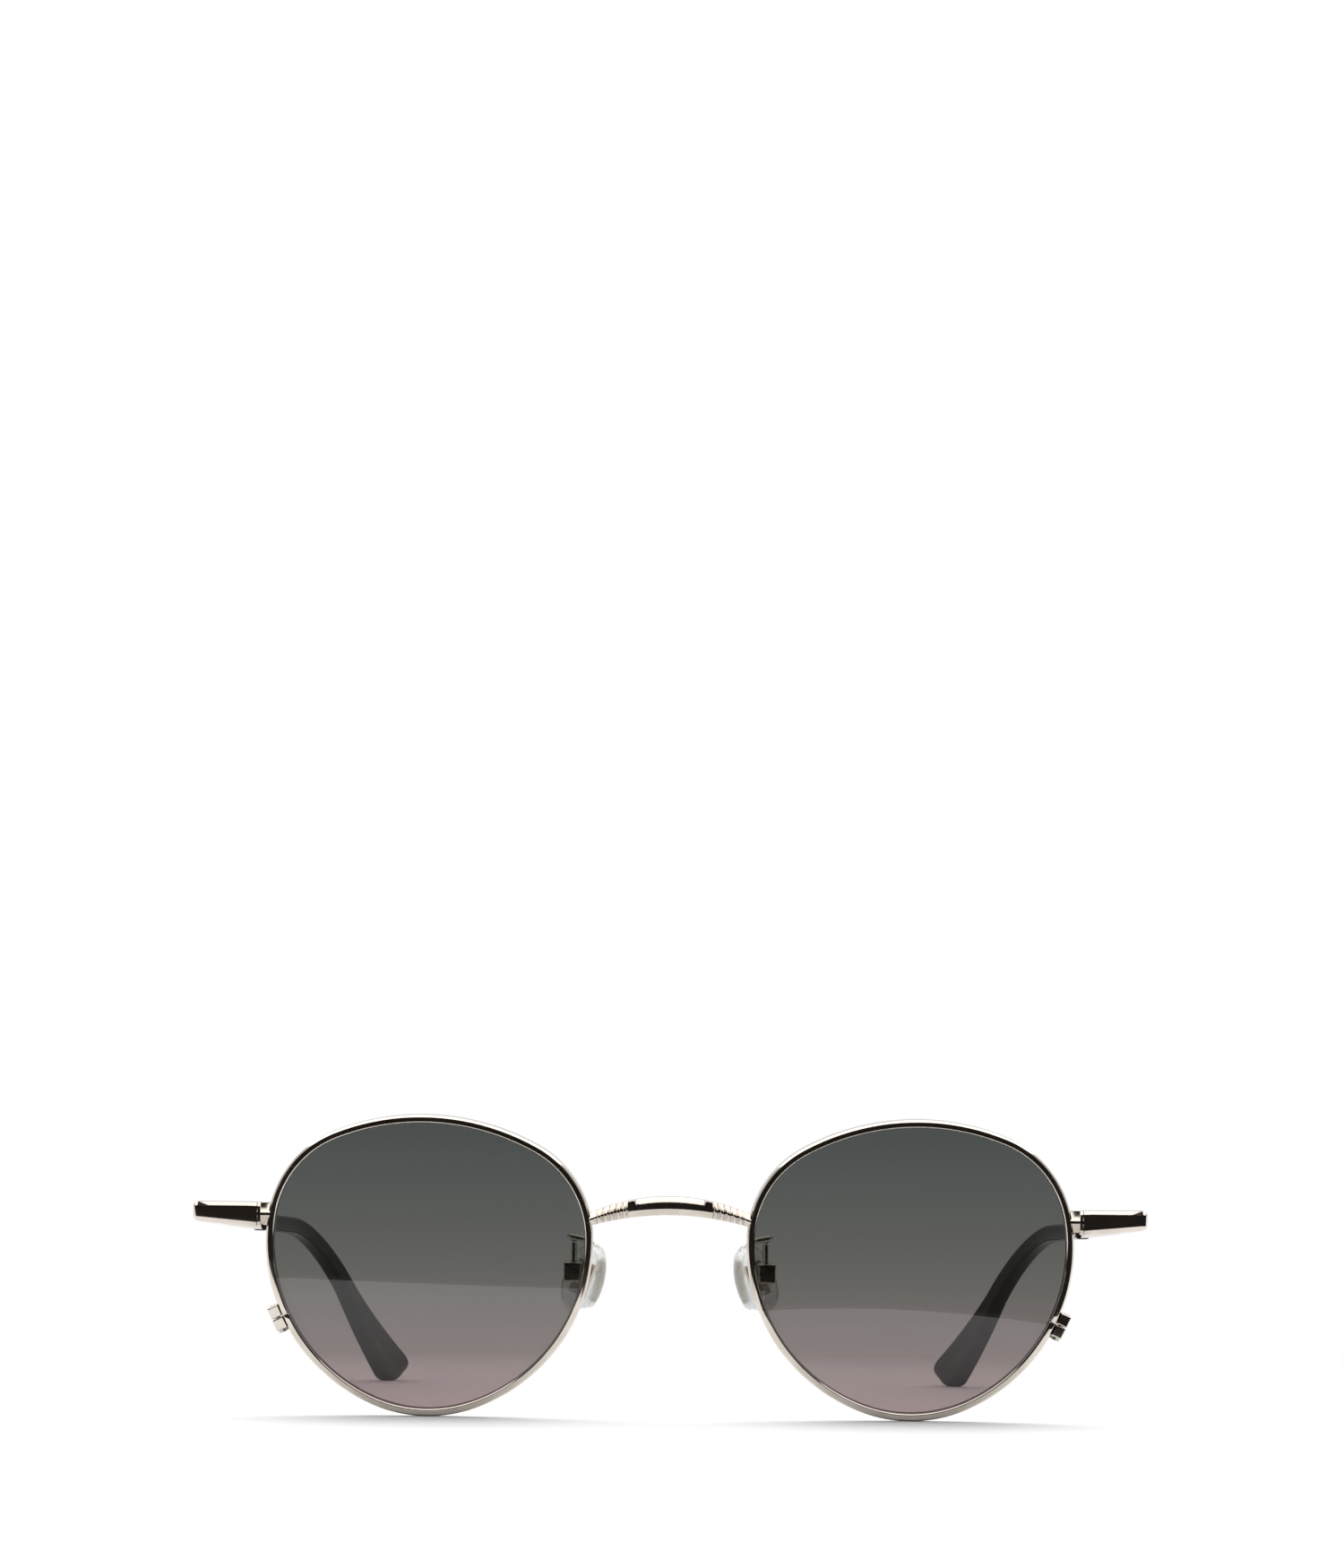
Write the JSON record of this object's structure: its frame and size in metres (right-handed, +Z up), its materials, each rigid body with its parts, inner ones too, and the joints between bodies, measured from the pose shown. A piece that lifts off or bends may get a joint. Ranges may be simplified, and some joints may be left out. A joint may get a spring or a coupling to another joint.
{
  "type": "round wire sunglasses",
  "caption": "Round panto wire sunglasses with graded tinted lenses, arched bridge, clear nose pads, rim locks, three-barrel hinges and black temple tips; temples fold.",
  "frame": {"origin": "centre of the open object's box, on the surface it stands on", "axes": "+X towards the wearer's left, +Y back towards the ends of the temples, +Z up"},
  "size_m": [0.142, 0.1274, 0.0449],
  "materials": {
    "nickel_silver": "polished nickel silver",
    "screw_steel": "turned steel",
    "tinted_lens": "polished, graded grey-green to mauve tint",
    "black_acetate": "polished",
    "clear_pad": "clear soft pad"
  },
  "bodies": {
    "front": {"bridge": "nickel_silver", "left_closing_block_lower": "nickel_silver", "left_closing_block_upper": "nickel_silver", "left_closing_screw": "screw_steel", "left_endpiece": "nickel_silver", "left_hinge_front_leaf": "nickel_silver", "left_hinge_screw": "screw_steel", "left_lens": "tinted_lens", "left_pad_arm": "nickel_silver", "left_pad_box": "nickel_silver", "left_pad_screw": "screw_steel", "left_rim": "nickel_silver", "right_closing_block_lower": "nickel_silver", "right_closing_block_upper": "nickel_silver", "right_closing_screw": "screw_steel", "right_endpiece": "nickel_silver", "right_hinge_front_leaf": "nickel_silver", "right_hinge_screw": "screw_steel", "right_lens": "tinted_lens", "right_pad_arm": "nickel_silver", "right_pad_box": "nickel_silver", "right_pad_screw": "screw_steel", "right_rim": "nickel_silver"},
    "left_temple": {"left_temple_arm": "nickel_silver", "left_temple_tip": "black_acetate", "left_hinge_temple_leaf": "nickel_silver"},
    "left_pad": {"left_nose_pad": "clear_pad", "left_pad_insert": "screw_steel"},
    "right_temple": {"right_temple_arm": "nickel_silver", "right_temple_tip": "black_acetate", "right_hinge_temple_leaf": "nickel_silver"},
    "right_pad": {"right_nose_pad": "clear_pad", "right_pad_insert": "screw_steel"}
  },
  "joints": [
    {"name": "left_temple_fold", "type": "hinge", "parent": "front", "child": "left_temple", "pos_m": [0.06845, -0.05504, 0.02984], "axis": [0, 0.034, 0.9994], "range_deg": [0, 78.5]},
    {"name": "right_temple_fold", "type": "hinge", "parent": "front", "child": "right_temple", "pos_m": [-0.06845, -0.05504, 0.02984], "axis": [0, -0.034, -0.9994], "range_deg": [0, 71.5]},
    {"name": "left_pad_rock", "type": "hinge", "parent": "front", "child": "left_pad", "pos_m": [0.0141, -0.05145, 0.02156], "axis": [0, 0.9914, 0.1305], "range_deg": [-8, 8]},
    {"name": "right_pad_rock", "type": "hinge", "parent": "front", "child": "right_pad", "pos_m": [-0.0141, -0.05145, 0.02156], "axis": [0, 0.9914, 0.1305], "range_deg": [-8, 8]}
  ]
}
